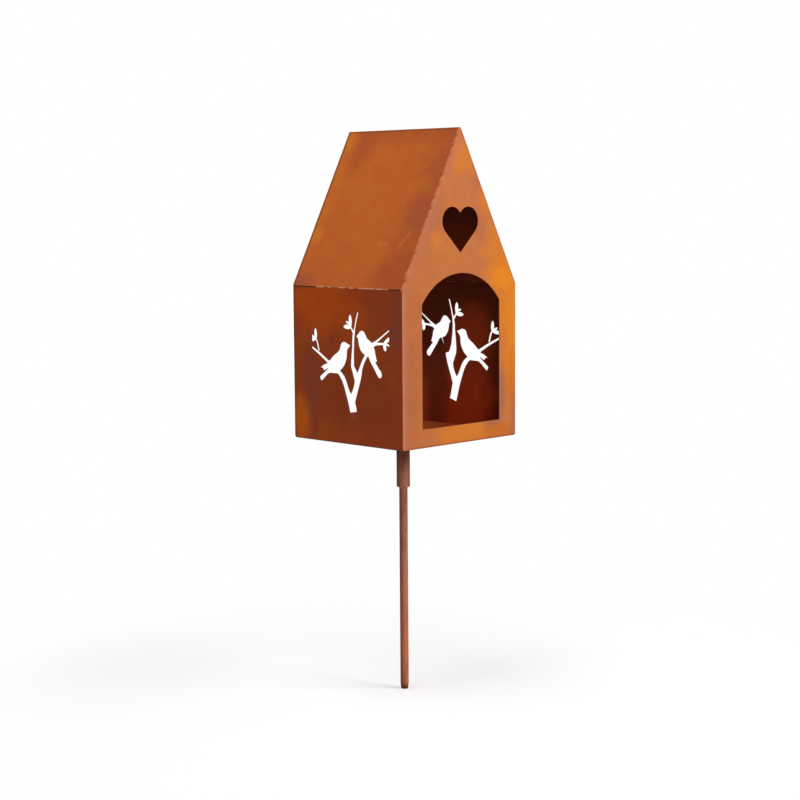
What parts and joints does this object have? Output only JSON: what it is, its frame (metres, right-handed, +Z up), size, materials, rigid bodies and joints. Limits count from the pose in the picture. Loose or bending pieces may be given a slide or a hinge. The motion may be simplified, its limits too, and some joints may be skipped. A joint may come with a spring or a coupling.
{
  "type": "bird feeder",
  "caption": "Steep gabled bird feeder of rusted sheet steel on a round stake, with arched openings front and back, heart cut-outs in its gables and birds on a branch cut through its sides.",
  "frame": {"origin": "centre of the flat lower end face of the stake", "axes": "+Z up along the stake, the front arch faces -Y, +X to the right as seen from the front"},
  "size_m": [0.1912, 0.182, 0.667],
  "materials": {
    "rusted_sheet": "matte",
    "rusted_bar": "matte",
    "weld_bead": "matte"
  },
  "bodies": {
    "root": {"front_panel": "rusted_sheet", "back_panel": "rusted_sheet", "left_wall": "rusted_sheet", "right_wall": "rusted_sheet", "roof_sheet": "rusted_sheet", "floor_plate": "rusted_sheet", "socket_tube": "rusted_bar", "stake_rod": "rusted_bar", "socket_weld": "weld_bead", "front_left_gable_weld": "weld_bead", "front_right_gable_weld": "weld_bead", "back_left_gable_weld": "weld_bead", "back_right_gable_weld": "weld_bead", "left_eave_weld": "weld_bead", "right_eave_weld": "weld_bead", "front_left_corner_weld": "weld_bead", "front_right_corner_weld": "weld_bead", "back_left_corner_weld": "weld_bead", "back_right_corner_weld": "weld_bead", "left_floor_weld": "weld_bead", "right_floor_weld": "weld_bead"}
  },
  "joints": []
}
